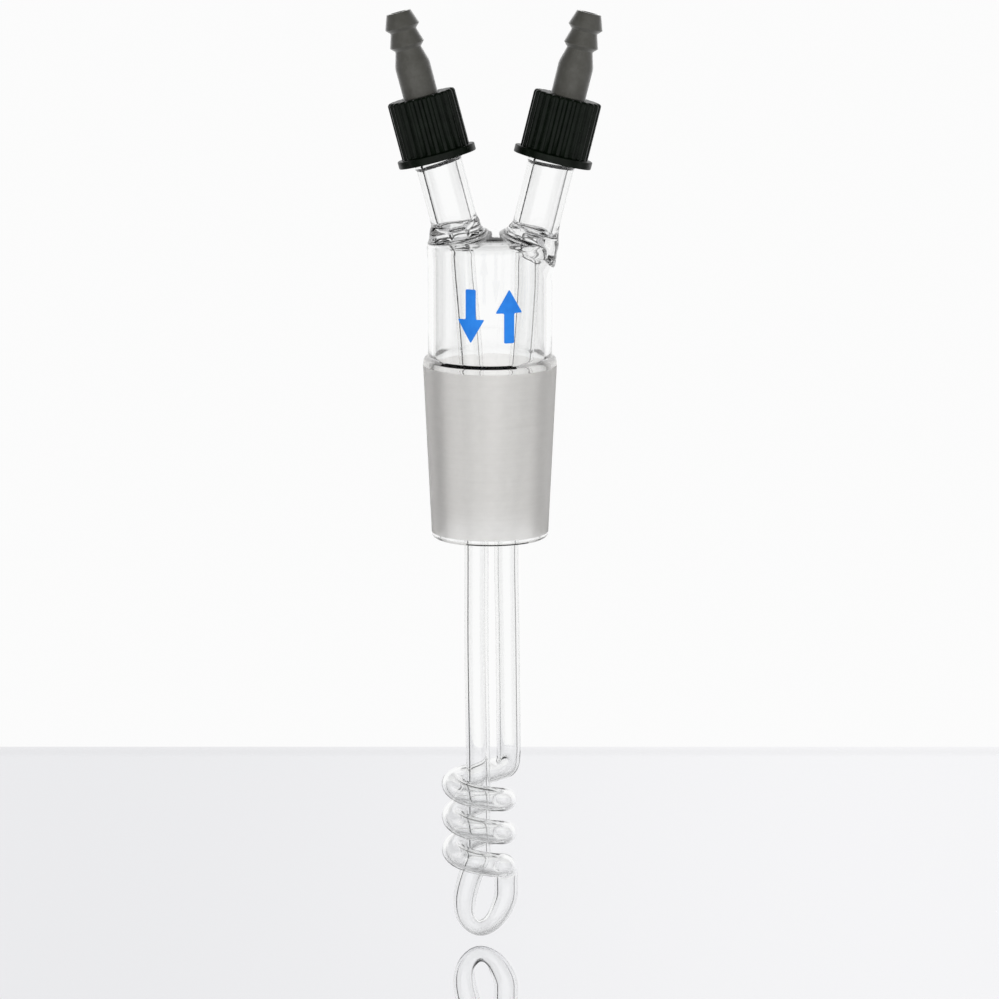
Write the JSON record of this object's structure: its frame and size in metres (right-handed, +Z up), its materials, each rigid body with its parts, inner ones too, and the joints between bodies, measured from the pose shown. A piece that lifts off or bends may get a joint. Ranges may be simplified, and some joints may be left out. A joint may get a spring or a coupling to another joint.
{
  "type": "coil condenser",
  "caption": "Cold-finger coil condenser: ground glass cone, domed chamber, glass coolant tube with a coil and bottom loop, threaded side arms with ribbed screw caps and barbed hose nozzles",
  "frame": {"origin": "on the ground cone's axis, in the plane of its large end, where a ground socket's mouth would sit", "axes": "+Z up along the cone's axis, +X towards the right-hand arm, +Y to the back; the two arms spread along X and lean a little towards +Y"},
  "size_m": [0.0556, 0.0344, 0.2432],
  "materials": {
    "clear_glass": "clear, fire-polished borosilicate glass",
    "ground_glass": "finely ground, matt white outside, clear at its two edges",
    "cap_plastic": "moulded, fine upright ribs, semi-matt",
    "nozzle_plastic": "moulded, semi-matt warm grey",
    "silicone": "matt, pale"
  },
  "bodies": {
    "glass": {"ground_cone": "ground_glass", "upper_chamber": "clear_glass", "left_arm": "clear_glass", "right_arm": "clear_glass", "left_leg": "clear_glass", "bottom_loop": "clear_glass", "cooling_coil": "clear_glass", "right_leg": "clear_glass"},
    "left_nozzle": {"left_hose_nozzle": "nozzle_plastic", "left_seal_ring": "silicone"},
    "left_cap": {"left_screw_cap": "cap_plastic"},
    "right_nozzle": {"right_hose_nozzle": "nozzle_plastic", "right_seal_ring": "silicone"},
    "right_cap": {"right_screw_cap": "cap_plastic"}
  },
  "joints": [
    {"name": "left_nozzle_lift", "type": "slide", "parent": "glass", "child": "left_nozzle", "axis": [-0.2571, 0.0758, 0.9634], "range_m": [0, 0.0075]},
    {"name": "left_cap_turn", "type": "hinge", "parent": "left_nozzle", "child": "left_cap", "pos_m": [-0.01342, 0.00182, 0.0536], "axis": [-0.2571, 0.0758, 0.9634], "range_deg": [0, 1080]},
    {"name": "right_nozzle_lift", "type": "slide", "parent": "glass", "child": "right_nozzle", "axis": [0.2419, 0.0761, 0.9673], "range_m": [0, 0.0075]},
    {"name": "right_cap_turn", "type": "hinge", "parent": "right_nozzle", "child": "right_cap", "pos_m": [0.01598, 0.00199, 0.0533], "axis": [0.2419, 0.0761, 0.9673], "range_deg": [0, 1080]}
  ],
  "couplings": [
    {"joint": "left_nozzle_lift", "follows": "left_cap_turn", "m_per_rad": 0.00039789},
    {"joint": "right_nozzle_lift", "follows": "right_cap_turn", "m_per_rad": 0.00039789}
  ]
}
